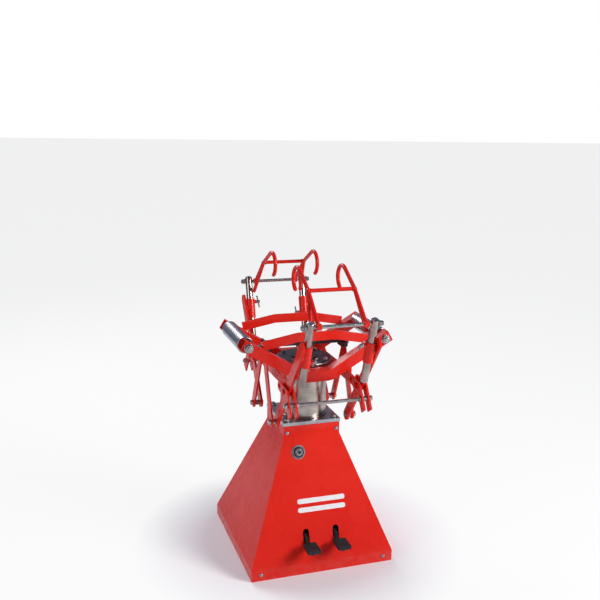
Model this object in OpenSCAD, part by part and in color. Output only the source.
// Pneumatic pedestal tyre spreader.
// A folded pyramid pedestal carries an upright air cylinder. The cylinder head holds a cradle with two rollers
// for an upright tyre. The piston rod lifts a crosshead, whose links swing the front and rear levers on the
// cradle's arm beams, so the hook frames on the levers move apart or together.
// Millimetres, +Z up, origin at the centre of the base on the floor. X runs along the front, -Y is the front.

/* [Pedestal] */
// Side of the square base
base_w = 520; // [480:5:560]
// Height of the upright skirt
skirt_h = 40; // [30:1:50]
// Side of the square neck
neck_w = 208; // [206:1:212]
// Height where the slope meets the neck
slope_top = 446; // [430:1:450]
// Height of the mast plate's top face
plate_top = 500; // [495:1:505]
// Thickness of the mast plate
plate_t = 12; // [10:1:12]
// Horizontal thickness of the panels
sheet = 3.2; // [2.5:0.1:4]

/* [Cylinder] */
// Outer radius of the barrel
barrel_r = 83.5; // [82:0.5:86]
// Bore radius of the barrel
bore_r = 77.5; // [76:0.5:78]
// Radius of the piston rod
rod_r = 30; // [25:1:32]
// Height of the arm beams' top face, where the saddle plate lies
saddle_z = 682.5; // [680:0.5:684]
// Thickness of the saddle plate
saddle_t = 8; // [6:1:8]
// Working stroke of the piston rod
stroke = 36; // [20:1:40]

/* [Cradle] */
// Distance of the bows' middle from the centre
bow_y = 133; // [132:1:134]
// Depth of the bow tube
bow_d = 40; // [38:1:40]
// Height of the bow tube's section
bow_h = 38; // [34:1:38]
// Height of the bow's flat middle, at its centreline
bow_z = 679; // [677:0.5:681]
// Half width of the bow's flat middle
bow_flat = 49; // [44:1:54]
// Distance of the roller axles from the centre
axle_x = 247; // [240:1:255]
// Height of the roller axles
axle_z = 796; // [790:1:800]
// Radius of the rollers
roller_r = 28.5; // [25:0.5:30]

/* [Spreading linkage] */
// Height of the links' upper pin
link_top_z = 752; // [750:1:753]
// Lower pin of the links on the levers, distance from the centre
foot_y = 104; // [100:1:108]
// Lower pin of the links on the levers, height
foot_z = 510; // [505:1:515]
// Lever fulcrum, distance from the centre
fulcrum_y = 215; // [213:1:217]
// Lever fulcrum, height
fulcrum_z = 657; // [655:1:659]
// Width of the lever bars
lever_w = 38; // [34:1:38]
// Width of the link bars
link_w = 34; // [30:1:34]

/* [Hook frames] */
// Distance of the height tubes from the middle plane
tube_x = 108.5; // [108:0.5:109]
// Radius of the height tubes
tube_r = 13; // [12.5:0.1:13]
// Lean of the height tubes away from the tyre, in degrees
tube_lean = 17.5; // [16:0.5:19]
// Height of the cross rod that carries the hook frame
rod_z = 913; // [905:1:915]
// Distance of the hook bars from the middle plane
hook_x = 80; // [76:1:82]
// Radius of the hook frames' round bar
hook_r = 7; // [6:0.5:8]

/* [Hidden] */
$fn = 48;

red = [0.86, 0.13, 0.08];
zinc = [0.78, 0.78, 0.76];
steel = [0.85, 0.84, 0.82];
black = [0.08, 0.08, 0.09];

// Base outline
half = base_w / 2;
neck = neck_w / 2;
plate_bottom = plate_top - plate_t;
slope_run = (half - neck) / (slope_top - skirt_h);
slope_angle = atan(slope_run);
flange_y = neck - 30;
flange_t = 3;
plate_half = neck + 2;
plate_bolt_at = 88;
plate_bolt_r = 6;
anchor_at = 222;
anchor_r = 7;
frame_t = 4;
frame_w = 60;
function slope_y(z) = neck + (slope_top - z) * slope_run;

// Air inlet on the front slope
inlet_x = -56;
inlet_z = 395;
inlet_bore_r = 5.9;
inlet_depth = 16;

// Pedals
pedal_x = 55;
slot_w = 22;
slot_low = 86;
slot_high = 148;
shaft_y = -186;
shaft_z = 136;
shaft_r = 6;
arm_t = 12;
arm_w = 13;
arm_line = [[-142, 116], [-186, 136], [-230, 116], [-262, 100.5], [-306, 99]];
bracket_x = 92;
bracket_t = 5;
pad_y = -290;
pad_z = 100;
pad_w = 46;
pad_l = 58;
pad_t = 12;
pad_tilt = 2;
valve_y = -212;
valve_top = 110.5;
plunger_r = 6;

// Cylinder head
head_z = saddle_z + saddle_t;
cap_top = head_z + 20;
cap_r = 92;
ring_r = 101;
spigot_h = 10;
cap_under = saddle_z - spigot_h;
head_bolt_at = 60;
gland_r = 42;
crosshead_t = 12;
crosshead_z = 757;
rod_spigot_r = 16;
piston_top = 606;
piston_t = 32;

// Stations across the machine, each a distance from the middle plane
beam_in = 115;
beam_t = 6;
beam_h = 33;
lever_in = 126;
lever_t = 8;
lug_in = 138;
link_in = [147.3, 153.9];
link_t = 6;
cheek_in = 138;
cheek_t = 8;

// Arm beam centreline in the Y-Z plane, front half
beam_z = saddle_z - beam_h / 2;
beam_line = [[-284, 588], [-236, 658], [-165, beam_z]];
tie_y = -262;
tie_z = 624;
tie_r = 6;
lug_root_y = -166;
lug_root_z = 662;
pivot_r = 7;

// Levers
lever_dir = [-(fulcrum_y - foot_y), fulcrum_z - foot_z] / norm([fulcrum_y - foot_y, fulcrum_z - foot_z]);
lever_len = 418;
foot_pin_r = 6;
foot_clear = 1.6;

// Height tubes: a point and the direction of their axis in the Y-Z plane, front side
tube_mid = [-333.5, 813.5];
tube_dir = [-sin(tube_lean), cos(tube_lean)];
function tube_at(z) = tube_mid + tube_dir * (z - tube_mid[1]) / tube_dir[1];
tube_low = 701;
tube_high = 927;
tube_wall = 2.6;
sleeve_low = 776;
sleeve_high = 847;
sleeve_r = 17.4;
sleeve_clear = 0.08;
boss_z = 812;
boss_r = 15;
clamp_low = 788;
clamp_high = 836;
clamp_r = 4;
cross_r = 6;
cross_y = tube_at(rod_z)[0];

// Hook frame, front side: joint of bar, stay and crossbar, then the crook's centre
joint_y = -258;
joint_z = 1006;
crook_y = -147;
crook_z = 1020;
crook_r = 42;
crook_start = 119;
crook_end = -60;
stay_x = 94;
stay_z = 878;
eye_r = 11;
eye_w = 16;
stay_gap = 0.35;
bead = 1.2;

// Rollers
roller_half = 111;
axle_r = 8;
bearing_w = 14;

// ---- helpers ----

function unit(v) = v / norm(v);
function left_of(v) = [-v[1], v[0]];

// Offset of point i of a line, square to it at the ends and mitred between
function miter(p, i) =
    let (n = len(p) - 1,
         a = left_of(unit(i == 0 ? p[1] - p[0] : p[i] - p[i - 1])),
         b = left_of(unit(i == n ? p[n] - p[n - 1] : p[i + 1] - p[i])))
    (a + b) / (1 + a * b);

// Points of an arc of radius r that rounds the corner b between a and c
function corner(a, b, c, r, n = 6) =
    let (u = unit(a - b), v = unit(c - b), h = acos(u * v) / 2,
         m = b + unit(u + v) * r / sin(h),
         s = b + u * r / tan(h) - m, e = b + v * r / tan(h) - m,
         a0 = atan2(s[1], s[0]), turn = (atan2(e[1], e[0]) - a0 + 540) % 360 - 180)
    [for (i = [0:n]) m + r * [cos(a0 + turn * i / n), sin(a0 + turn * i / n)]];

// Strip of width w along a line of points
module strip(p, w)
    polygon(concat([for (i = [0:len(p) - 1]) p[i] + miter(p, i) * w / 2],
                   [for (i = [len(p) - 1:-1:0]) p[i] - miter(p, i) * w / 2]));

// Flat bar outline with round ends from p to q
module bar_shape(p, q, w) {
    strip([p, q], w);
    translate(p) circle(w / 2);
    translate(q) circle(w / 2);
}

// Extrudes a Y-Z outline from x to x + t
module across(x, t) translate([x, 0, 0]) rotate([90, 0, 90]) linear_extrude(t) children();

// Extrudes an X-Z outline from y to y + t
module along(y, t) translate([0, y + t, 0]) rotate([90, 0, 0]) linear_extrude(t) children();

// Round bar from p to q
module round_bar(p, q, r) {
    d = q - p;
    translate(p)
        rotate([0, acos(d[2] / norm(d)), atan2(d[1], d[0])])
            cylinder(h = norm(d), r = r);
}

// Round bar along X at (y, z) from x to x + l
module pin(x, l, y, z, r) translate([x, y, z]) rotate([0, 90, 0]) cylinder(h = l, r = r);

// Round bar along Y at (x, z) from y to y + l
module shaft(x, y, l, z, r) translate([x, y, z]) rotate([-90, 0, 0]) cylinder(h = l, r = r);

// Hexagon nut or head along X with a round hole
module nut_x(x, l, y, z, af, hole) translate([x, y, z]) rotate([0, 90, 0]) difference() {
    cylinder(h = l, r = af / sqrt(3), $fn = 6);
    translate([0, 0, -1]) cylinder(h = l + 2, r = hole);
}

module both_sides() {
    children();
    mirror([1, 0, 0]) children();
}

module front_and_rear() {
    children();
    mirror([0, 1, 0]) children();
}

// ---- pedestal ----

module panel_outline(h)
    polygon([[-h, 0], [h, 0], [h, skirt_h], [h - half + neck, slope_top], [h - half + neck, plate_bottom],
             [half - neck - h, plate_bottom], [half - neck - h, slope_top], [-h, skirt_h]]);

module folded_panel(flange) across(-half, base_w)
    polygon(concat([[-half, 0], [-half, skirt_h], [-neck, slope_top], [-neck, plate_bottom]],
                   flange ? [[-flange_y, plate_bottom], [-flange_y, plate_bottom - flange_t],
                             [sheet - neck, plate_bottom - flange_t]] : [[sheet - neck, plate_bottom]],
                   [[sheet - neck, slope_top], [sheet - half, skirt_h], [sheet - half, 0]]));

module wide_panel() difference() {
    intersection() {
        folded_panel(true);
        along(-half, half) panel_outline(half);
    }
    for (x = [-plate_bolt_at, plate_bolt_at])
        translate([x, -plate_bolt_at, plate_bottom - 20]) cylinder(h = 40, r = plate_bolt_r + 0.3);
    both_sides() translate([neck - sheet - 0.3, sheet - neck, plate_bottom - 2 * flange_t])
        cube([10, 40, 3 * flange_t]);
}

module slot_cut(x) along(-half, half)
    bar_shape([x, slot_low + slot_w / 2], [x, slot_high - slot_w / 2], slot_w);

module on_front_slope(x, z)
    translate([x, -slope_y(z), z]) rotate([90 - slope_angle, 0, 0]) children();

module front_panel() color(red) difference() {
    wide_panel();
    slot_cut(-pedal_x);
    slot_cut(pedal_x);
    on_front_slope(inlet_x, inlet_z) translate([0, 0, -20]) cylinder(h = 40, r = 13);
}

module back_panel() color(red) mirror([0, 1, 0]) wide_panel();

module side_panels() color(red) both_sides() rotate([0, 0, -90]) intersection() {
    folded_panel(false);
    along(-half, half) panel_outline(half - sheet - 0.05);
}

module floor_frame() color(red) difference() {
    inner = half - sheet - 0.2;
    translate([-inner, -inner, 0]) cube([2 * inner, 2 * inner, frame_t]);
    translate([frame_w - inner, frame_w - inner, -1])
        cube([2 * (inner - frame_w), 2 * (inner - frame_w), frame_t + 2]);
    for (x = [-anchor_at, anchor_at], y = [-anchor_at, anchor_at])
        translate([x, y, -1]) cylinder(h = frame_t + 2, r = anchor_r);
}

module screw_head() {
    cylinder(h = 1.2, r = 6.5);
    cylinder(h = 3.6, r = 4.6);
}

module panel_screws() color(zinc) front_and_rear() for (x = [-1, 1]) {
    translate([x * 226, -half, 22]) rotate([90, 0, 0]) screw_head();
    translate([x * 92, -neck, 462]) rotate([90, 0, 0]) screw_head();
}

module mast_plate() color(zinc) difference() {
    translate([-plate_half, -plate_half, plate_bottom]) cube([2 * plate_half, 2 * plate_half, plate_t]);
    for (x = [-plate_bolt_at, plate_bolt_at], y = [-plate_bolt_at, plate_bolt_at])
        translate([x, y, plate_bottom - 1]) cylinder(h = plate_t + 2, r = plate_bolt_r + 0.3);
    translate([40, 0, plate_bottom - 1]) cylinder(h = plate_t + 2, r = 8);
}

module plate_bolts() color(steel)
    for (x = [-plate_bolt_at, plate_bolt_at], y = [-plate_bolt_at, plate_bolt_at])
        translate([x, y, 0]) {
            translate([0, 0, plate_top]) cylinder(h = 2, r = 12);
            translate([0, 0, plate_top + 2]) cylinder(h = 7.5, r = 10.4, $fn = 6);
            translate([0, 0, plate_bottom - flange_t - 16]) cylinder(h = plate_t + flange_t + 20, r = plate_bolt_r);
            translate([0, 0, plate_bottom - flange_t - 10]) cylinder(h = 10, r = 10.4, $fn = 6);
        }

module air_inlet() color(zinc) on_front_slope(inlet_x, inlet_z) difference() {
    union() {
        cylinder(h = 2.5, r = 25);
        translate([0, 0, 2.5]) cylinder(h = 3.5, r = 19.5);
        translate([0, 0, 6]) cylinder(h = 5, r = 13);
        translate([0, 0, 11]) cylinder(h = 3, r = 9.5);
        translate([0, 0, -26]) cylinder(h = 26, r = 12.6);
        translate([0, 0, -14]) cylinder(h = 8, r = 19, $fn = 6);
    }
    translate([0, 0, 14 - inlet_depth]) cylinder(h = inlet_depth + 1, r = inlet_bore_r);
    translate([0, 0, -27]) cylinder(h = 30, r = 4);
}

// ---- foot pedals and valves ----

module pedal_shaft() color(steel) {
    pin(-bracket_x - 8, 2 * bracket_x + 16, shaft_y, shaft_z, shaft_r);
    for (x = [-bracket_x, bracket_x]) {
        across(x - bracket_t / 2, bracket_t)
            polygon([[shaft_y - 14, frame_t], [shaft_y + 40, frame_t], [shaft_y + 14, shaft_z + 14],
                     [shaft_y - 14, shaft_z + 14]]);
        translate([x - 12, shaft_y - 14, frame_t]) cube([24, 54, bracket_t]);
    }
}

module pedal_arm(x) color(black) difference() {
    union() {
        across(x - arm_t / 2, arm_t) strip(arm_line, arm_w);
        pin(x - arm_t / 2 - 2, arm_t + 4, shaft_y, shaft_z, 13);
    }
    pin(x - 20, 40, shaft_y, shaft_z, shaft_r + 0.06);
}

module pad_shape(x) translate([x, pad_y, pad_z + 5]) rotate([pad_tilt, 0, 0]) {
    difference() {
        translate([-pad_w / 2, -pad_l / 2, 0]) cube([pad_w, pad_l, pad_t]);
        for (i = [-2:2]) translate([-pad_w / 2 - 1, i * 11 - 1.5, pad_t - 1.6]) cube([pad_w + 2, 3, 3]);
    }
}

module left_pedal_arm() pedal_arm(-pedal_x);
module right_pedal_arm() pedal_arm(pedal_x);
module left_pedal_pad() color(black) difference() {
    pad_shape(-pedal_x);
    pad_slot(-pedal_x);
}
module right_pedal_pad() color(black) difference() {
    pad_shape(pedal_x);
    pad_slot(pedal_x);
}

// Room for the arm's end under the pad
module pad_slot(x) across(x - arm_t / 2 - 0.05, arm_t + 0.1)
    strip([for (i = [2:len(arm_line) - 1]) arm_line[i]], arm_w + 0.1);

module foot_valves() color(black) for (x = [-pedal_x, pedal_x]) difference() {
    union() {
        translate([x - 20, valve_y - 18, frame_t]) cube([40, 60, 60]);
        translate([x, valve_y, frame_t + 60]) cylinder(h = 24, r = 13);
    }
    translate([x, valve_y, frame_t + 30]) cylinder(h = 100, r = plunger_r + 0.06);
}

module plunger(x) color(steel) translate([x, valve_y, 0]) {
    translate([0, 0, frame_t + 44]) cylinder(h = valve_top - frame_t - 44, r = plunger_r);
}

module left_plunger() plunger(-pedal_x);
module right_plunger() plunger(pedal_x);

// Hose routes inside the pedestal, each a list of round points
hose_r = 5;
inlet_route = [[-56, -98, 385], [-56, -70, 365], [-60, -20, 300], [-70, 0, 220], [-66, -30, 130],
               [-56, -90, 60], [-55, -168, 40]];
link_route = [[-34, -190, 30], [-15, -184, 30], [15, -184, 30], [34, -190, 30]];
mast_route = [[55, -168, 40], [58, -90, 60], [66, -30, 140], [60, 0, 260], [46, 0, 400], [40, 0, 487]];

// Tube swept along a route of points
module swept(p, r, n = 10) {
    m = len(p);
    function tangent(i) = unit(p[min(i + 1, m - 1)] - p[max(i - 1, 0)]);
    function side(i) = unit(cross(tangent(i), [0.31, 1, 0.17]));
    ring = [for (i = [0:m - 1], k = [0:n - 1])
        p[i] + r * (cos(360 * k / n) * side(i) + sin(360 * k / n) * cross(tangent(i), side(i)))];
    polyhedron(ring, concat([[for (k = [0:n - 1]) k]],
        [for (i = [0:m - 2], k = [0:n - 1])
            [i * n + k, (i + 1) * n + k, (i + 1) * n + (k + 1) % n, i * n + (k + 1) % n]],
        [[for (k = [n - 1:-1:0]) (m - 1) * n + k]]));
}

// Smooth points through a route (Catmull-Rom)
function smooth(p, n = 5) =
    let (m = len(p) - 1)
    concat([for (i = [0:m - 1], j = [0:n - 1])
        let (t = j / n, a = p[max(i - 1, 0)], b = p[i], c = p[i + 1], d = p[min(i + 2, m)])
        0.5 * ((2 * b) + (c - a) * t + (2 * a - 5 * b + 4 * c - d) * t * t
               + (3 * b - a - 3 * c + d) * t * t * t)], [p[m]]);

module air_hoses() color(black) {
    swept(smooth(inlet_route), hose_r);
    swept(smooth(link_route), hose_r);
    swept(smooth(mast_route), hose_r);
}

// ---- cylinder ----

module ring(z, h, outer, inner) translate([0, 0, z]) difference() {
    cylinder(h = h, r = outer, $fn = 96);
    translate([0, 0, -1]) cylinder(h = h + 2, r = inner, $fn = 96);
}

module at_head_bolts() for (a = [45:90:315]) rotate([0, 0, a]) translate([head_bolt_at * sqrt(2), 0, 0]) children();

module cylinder_tube() color(steel) difference() {
    union() {
        ring(plate_top, saddle_z - plate_top, barrel_r, bore_r);
        ring(saddle_z - 14, 14, 97, bore_r);
        ring(plate_top, 5, barrel_r + 3, bore_r);
    }
    at_head_bolts() translate([0, 0, saddle_z - 13]) cylinder(h = 30, r = 4.3);
}

module saddle_plate() color(red) difference() {
    translate([-beam_in - beam_t, -100, saddle_z]) cube([2 * (beam_in + beam_t), 200, saddle_t]);
    translate([0, 0, saddle_z - 1]) cylinder(h = saddle_t + 2, r = bore_r, $fn = 96);
    at_head_bolts() translate([0, 0, saddle_z - 1]) cylinder(h = saddle_t + 2, r = 4.3);
}

module head_cap() color(black) difference() {
    union() {
        ring(head_z, cap_top - head_z, cap_r, gland_r);
        ring(cap_under, head_z - cap_under, bore_r - 0.05, gland_r);
    }
    at_head_bolts() translate([0, 0, saddle_z]) cylinder(h = 40, r = 4.3);
}

module head_ring() color(steel) ring(head_z, 15, ring_r, cap_r);

module head_bolts() color(steel) at_head_bolts() {
    translate([0, 0, saddle_z - 13]) cylinder(h = cap_top - saddle_z + 13, r = 4.2);
    translate([0, 0, cap_top]) cylinder(h = 1.5, r = 9);
    translate([0, 0, cap_top + 1.5]) cylinder(h = 6, r = 7.5, $fn = 6);
}

module rod_gland() color(zinc) {
    ring(cap_under, cap_top - cap_under, gland_r, rod_r + 0.05);
    ring(cap_top, 4, gland_r + 5, rod_r + 0.05);
}

module piston_rod() color(steel) {
    translate([0, 0, piston_top]) cylinder(h = crosshead_z - piston_top, r = rod_r, $fn = 72);
    translate([0, 0, crosshead_z]) cylinder(h = crosshead_t, r = rod_spigot_r);
    translate([0, 0, piston_top - piston_t - 18]) cylinder(h = piston_t + 18, r = 12);
    translate([0, 0, piston_top - piston_t - 14]) cylinder(h = 14, r = 20.8, $fn = 6);
}

module piston() color(zinc) difference() {
    ring(piston_top - piston_t, piston_t, bore_r - 0.5, 12);
    for (z = [7, 19]) ring(piston_top - piston_t + z, 6, bore_r, bore_r - 6);
}

module piston_seals() color(black)
    for (z = [7, 19]) ring(piston_top - piston_t + z, 6, bore_r - 0.05, bore_r - 6);

spring_r = 52;
spring_wire = 3.5;
spring_turns = 5;
spring_low = piston_top + spring_wire;
spring_high = cap_under - spring_wire;

module return_spring() color(black)
    swept([for (i = [0:spring_turns * 14])
        let (a = i * 360 / 14, t = i / (spring_turns * 14))
        [spring_r * cos(a), spring_r * sin(a), spring_low + t * (spring_high - spring_low)]], spring_wire, 8);

// ---- crosshead and links ----

module crosshead() color(black) difference() {
    union() {
        translate([-cheek_in, -26, crosshead_z]) cube([2 * cheek_in, 52, crosshead_t]);
        translate([0, 0, crosshead_z]) cylinder(h = crosshead_t, r = 44);
        both_sides() across(cheek_in, cheek_t) union() {
            polygon([[-55, crosshead_z + crosshead_t], [55, crosshead_z + crosshead_t], [55, 748], [22, 736],
                     [-22, 736], [-55, 748]]);
        }
    }
    translate([0, 0, crosshead_z - 1]) cylinder(h = crosshead_t + 2, r = rod_spigot_r);
    both_sides() pin(cheek_in - 1, cheek_t + 2, 0, link_top_z, 6);
}

module crosshead_pins() color(steel) both_sides() {
    pin(cheek_in, 31, 0, link_top_z, 6);
    pin(cheek_in + cheek_t, link_in[0] - cheek_in - cheek_t - 0.3, 0, link_top_z, 10);
    pin(161, 1.5, 0, link_top_z, 10);
    nut_x(162.5, 7, 0, link_top_z, 17, 5.9);
}

module link_pair(x) both_sides() difference() {
    across(x, link_t) bar_shape([0, link_top_z], [-foot_y, foot_z], link_w);
    pin(x - 1, link_t + 2, 0, link_top_z, 6.06);
    pin(x - 1, link_t + 2, -foot_y, foot_z, foot_pin_r + foot_clear);
}

module front_links() color(red) link_pair(link_in[0]);
module rear_links() color(red) mirror([0, 1, 0]) link_pair(link_in[1]);

// ---- cradle ----

bow_slope = atan((axle_z - bow_z) / (axle_x - bow_flat));
bow_end = [axle_x + 22 * cos(bow_slope), axle_z + 22 * sin(bow_slope)];
function bow_half(extra) = concat([bow_end + extra * [cos(bow_slope), sin(bow_slope)]],
    corner(bow_end, [bow_flat, bow_z], [0, bow_z], 60));
function whole(p) = concat(p, [for (i = [len(p) - 1:-1:0]) [-p[i][0], p[i][1]]]);

module bow() difference() {
    union() {
        along(-bow_y - bow_d / 2, bow_d) strip(whole(bow_half(0)), bow_h);
        both_sides() along(-bow_y - bow_d / 2, bow_d)
            translate([beam_in - 3, saddle_z]) square([beam_t + 6, 20]);
    }
    along(-bow_y - bow_d / 2 + 3, bow_d - 6) strip(whole(bow_half(5)), bow_h - 6);
    both_sides() shaft(axle_x, -bow_y - 40, 80, axle_z, axle_r + 0.1);
}

module front_bow() color(red) bow();
module rear_bow() color(red) mirror([0, 1, 0]) bow();

arch_z = 818;
arch_flat = 70;
arch_h = 32;
arch_t = 8;
arch_end = [193, 795];

module arch() difference() {
    along(-bow_y - 2 - arch_t / 2, arch_t)
        strip(whole(concat([arch_end], corner(arch_end, [arch_flat, arch_z], [0, arch_z], 60))), arch_h);
    along(-bow_y - 30, 60) strip(whole(bow_half(30)), bow_h);
}

module front_arch() color(red) arch();
module rear_arch() color(red) mirror([0, 1, 0]) arch();

module arm_beams() color(red) both_sides() difference() {
    across(beam_in, beam_t) strip(concat(beam_line, [for (i = [2:-1:0]) [-beam_line[i][0], beam_line[i][1]]]), beam_h);
    front_and_rear() pivot_holes(beam_in);
}

module pivot_holes(x) {
    pin(x - 1, beam_t + 2, -fulcrum_y, fulcrum_z, pivot_r);
    pin(x - 1, beam_t + 2, tie_y, tie_z, tie_r);
    pin(x - 1, beam_t + 2, lug_root_y, lug_root_z, 5);
}

module lug_plates() color(red) front_and_rear() both_sides() difference() {
    across(lug_in, beam_t) union() {
        strip([beam_line[0], beam_line[1], [lug_root_y, lug_root_z]], beam_h);
        translate([lug_root_y, lug_root_z]) circle(beam_h / 2);
    }
    pivot_holes(lug_in);
}

module tie_rods() color(steel) front_and_rear() {
    pin(-157, 314, tie_y, tie_z, tie_r);
    both_sides() {
        pin(145, 1.6, tie_y, tie_z, 11.5);
        nut_x(146.6, 7, tie_y, tie_z, 18, 5.9);
        nut_x(107.5, 7, tie_y, tie_z, 18, 5.9);
        pin(beam_in + beam_t, lug_in - beam_in - beam_t, tie_y, tie_z, 9);
    }
}

// Fulcrum bolts with their spacers, and the short bolts that join beam and lug plate
module lever_pivots() color(red) front_and_rear() both_sides() {
    pin(108, 41, -fulcrum_y, fulcrum_z, pivot_r);
    pin(lug_in + beam_t, 3.5, -fulcrum_y, fulcrum_z, 10);
    pin(107, 8, -fulcrum_y, fulcrum_z, 11);
    pin(beam_in + beam_t, lever_in - beam_in - beam_t - 0.2, -fulcrum_y, fulcrum_z, 12);
    pin(lever_in + lever_t + 0.2, lug_in - lever_in - lever_t - 0.2, -fulcrum_y, fulcrum_z, 12);
    pin(110, 38, lug_root_y, lug_root_z, 5);
    pin(110, 5, lug_root_y, lug_root_z, 8);
    pin(lug_in + beam_t, 3, lug_root_y, lug_root_z, 8);
    pin(beam_in + beam_t, lug_in - beam_in - beam_t, lug_root_y, lug_root_z, 7.5);
}

// ---- rollers ----

module roller_axles() color(steel) both_sides()
    shaft(axle_x, -bow_y - bow_d / 2 - 18, 2 * bow_y + bow_d + 36, axle_z, axle_r);

module axle_nuts() color(steel) front_and_rear() both_sides() translate([axle_x, -bow_y - bow_d / 2, axle_z])
    rotate([90, 0, 0]) difference() {
        union() {
            cylinder(h = 2.5, r = 16);
            translate([0, 0, 2.5]) cylinder(h = 11, r = 24 / sqrt(3), $fn = 6);
        }
        translate([0, 0, -1]) cylinder(h = 20, r = axle_r);
    }

module roller_bearings() color(black) front_and_rear() both_sides()
    translate([axle_x, -roller_half + 0.6, axle_z]) rotate([-90, 0, 0]) difference() {
        union() {
            cylinder(h = bearing_w, r = 21.95);
            translate([0, 0, -1.6]) cylinder(h = 1.6, r = 12);
        }
        translate([0, 0, -3]) cylinder(h = bearing_w + 6, r = axle_r);
    }

module roller() shaft_tube(axle_x, -roller_half, 2 * roller_half, axle_z);

module shaft_tube(x, y, l, z) translate([x, y, z]) rotate([-90, 0, 0]) difference() {
    cylinder(h = l, r = roller_r, $fn = 72);
    translate([0, 0, -1]) cylinder(h = l + 2, r = 22, $fn = 72);
}

module left_roller() color(zinc) mirror([1, 0, 0]) roller();
module right_roller() color(zinc) roller();

// ---- levers, tubes and hook frames, drawn for the front ----

foot = [-foot_y, foot_z];

module on_tube(z) translate([0, tube_at(z)[0], z]) rotate([tube_lean, 0, 0]) children();

module lever(clamp_z) difference() {
    union() {
        across(lever_in, lever_t) bar_shape(foot, foot + lever_dir * lever_len, lever_w);
        translate([tube_x, 0, 0]) on_tube(sleeve_low)
            cylinder(h = (sleeve_high - sleeve_low) / tube_dir[1], r = sleeve_r);
        pin(tube_x, lever_in + 1 - tube_x, tube_at(boss_z)[0], boss_z, boss_r);
        translate([tube_x, 0, 0]) on_tube(clamp_z) rotate([0, -90, 0]) cylinder(h = sleeve_r + 7, r = 7);
    }
    pin(lever_in - 1, lever_t + 2, -foot_y, foot_z, foot_pin_r);
    pin(lever_in - 1, lever_t + 2, -fulcrum_y, fulcrum_z, pivot_r + 0.06);
    translate([tube_x, 0, 0]) on_tube(sleeve_low - 20) cylinder(h = 140, r = tube_r + sleeve_clear);
    translate([tube_x, 0, 0]) on_tube(clamp_z) rotate([0, -90, 0]) cylinder(h = 60, r = clamp_r + 0.06);
}

module front_levers() color(red) {
    lever(clamp_high);
    mirror([1, 0, 0]) lever(clamp_low);
}

module rear_levers() color(red) rotate([0, 0, 180]) {
    lever(clamp_high);
    mirror([1, 0, 0]) lever(clamp_low);
}

module foot_pins(x) both_sides() {
    pin(lever_in - 4, x + link_t - lever_in + 13, -foot_y, foot_z, foot_pin_r);
    nut_x(lever_in - 4, 4, -foot_y, foot_z, 18, foot_pin_r - 0.1);
    pin(lever_in + lever_t, x - lever_in - lever_t - 0.3, -foot_y, foot_z, 10);
    pin(x + link_t + 0.3, 1.6, -foot_y, foot_z, 11.5);
    nut_x(x + link_t + 1.9, 7, -foot_y, foot_z, 18, foot_pin_r - 0.1);
}

module front_foot_pins() color(steel) foot_pins(link_in[0]);
module rear_foot_pins() color(steel) mirror([0, 1, 0]) foot_pins(link_in[1]);

module tubes() both_sides() difference() {
    translate([tube_x, 0, 0]) on_tube(tube_low) cylinder(h = (tube_high - tube_low) / tube_dir[1], r = tube_r);
    translate([tube_x, 0, 0]) on_tube(tube_low - 5) cylinder(h = 260, r = tube_r - tube_wall);
    pin(80, 60, cross_y, rod_z, cross_r);
}

module front_tubes() color(steel) tubes();
module rear_tubes() color(steel) mirror([0, 1, 0]) tubes();

module cross_rod() {
    pin(-139, 278, cross_y, rod_z, cross_r);
    both_sides() {
        nut_x(122.5, 7, cross_y, rod_z, 18, cross_r - 0.1);
        nut_x(131, 6, cross_y, rod_z, 16, cross_r - 0.1);
    }
}

module front_cross_rod() color(steel) cross_rod();
module rear_cross_rod() color(steel) mirror([0, 1, 0]) cross_rod();

// Foot of the stay, resting against the tube's inner side
stay_y = tube_at(stay_z)[0]
    + sqrt(pow(tube_r + hook_r + stay_gap, 2) - pow(tube_x - stay_x, 2)) / tube_dir[1];

module hook_bar() {
    joint = [hook_x, joint_y, joint_z];
    start = [hook_x, crook_y + crook_r * cos(crook_start), crook_z + crook_r * sin(crook_start)];
    tip = [hook_x, crook_y + crook_r * cos(crook_end), crook_z + crook_r * sin(crook_end)];
    round_bar([hook_x, cross_y, rod_z], joint, hook_r);
    round_bar(joint, start, hook_r - 0.1);
    round_bar([stay_x, stay_y, stay_z], joint, hook_r - 0.2);
    translate(joint) sphere(hook_r + bead);
    translate(start) sphere(hook_r + 0.3);
    translate(tip) sphere(hook_r - 0.1);
    translate([hook_x, crook_y, crook_z]) rotate([90, 0, 90]) rotate([0, 0, crook_end])
        rotate_extrude(angle = crook_start - crook_end, $fn = 72) translate([crook_r, 0]) circle(hook_r, $fn = 32);
    pin(hook_x - eye_w / 2, eye_w, cross_y, rod_z, eye_r);
}

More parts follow.
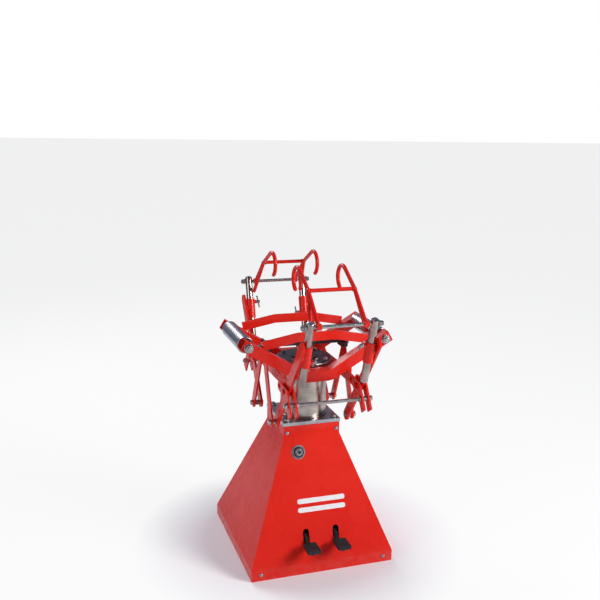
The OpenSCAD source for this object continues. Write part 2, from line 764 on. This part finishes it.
module hook_frame() difference() {
    union() {
        both_sides() hook_bar();
        pin(-hook_x, 2 * hook_x, joint_y, joint_z, hook_r - 0.3);
    }
    pin(-120, 240, cross_y, rod_z, cross_r + 0.06);
}

module front_hooks() color(red) hook_frame();
module rear_hooks() color(red) mirror([0, 1, 0]) hook_frame();

// Clamp screw with a loose cross handle; turn sets the handle's angle
module clamp(clamp_z, turn) translate([tube_x, 0, 0]) on_tube(clamp_z) rotate([0, -90, 0]) {
    translate([0, 0, tube_r + 0.2]) cylinder(h = 22, r = clamp_r);
    translate([0, 0, sleeve_r + 8]) cylinder(h = 12, r = 6);
    rotate([0, 0, turn]) translate([0, 0, sleeve_r + 14]) {
        translate([0, -24, 0]) rotate([-90, 0, 0]) cylinder(h = 48, r = 2.5);
        for (y = [-24, 24]) translate([0, y, 0]) sphere(3.6, $fn = 24);
    }
}

module clamp_front_left() color(steel) mirror([1, 0, 0]) clamp(clamp_low, 60);
module clamp_front_right() color(steel) clamp(clamp_high, 60);
module clamp_rear_left() color(steel) rotate([0, 0, 180]) clamp(clamp_high, 60);
module clamp_rear_right() color(steel) rotate([0, 0, 180]) mirror([1, 0, 0]) clamp(clamp_low, 60);

floor_frame();
front_panel();
back_panel();
side_panels();
panel_screws();
mast_plate();
plate_bolts();
air_inlet();
pedal_shaft();
foot_valves();
air_hoses();
cylinder_tube();
saddle_plate();
head_cap();
head_ring();
head_bolts();
rod_gland();
piston_rod();
piston();
piston_seals();
return_spring();
crosshead();
crosshead_pins();
front_links();
rear_links();
front_bow();
rear_bow();
front_arch();
rear_arch();
arm_beams();
lug_plates();
tie_rods();
lever_pivots();
roller_axles();
axle_nuts();
roller_bearings();
left_roller();
right_roller();
front_levers();
rear_levers();
front_foot_pins();
rear_foot_pins();
front_tubes();
rear_tubes();
front_cross_rod();
rear_cross_rod();
front_hooks();
rear_hooks();
clamp_front_left();
clamp_front_right();
clamp_rear_left();
clamp_rear_right();
left_pedal_arm();
right_pedal_arm();
left_pedal_pad();
right_pedal_pad();
left_plunger();
right_plunger();
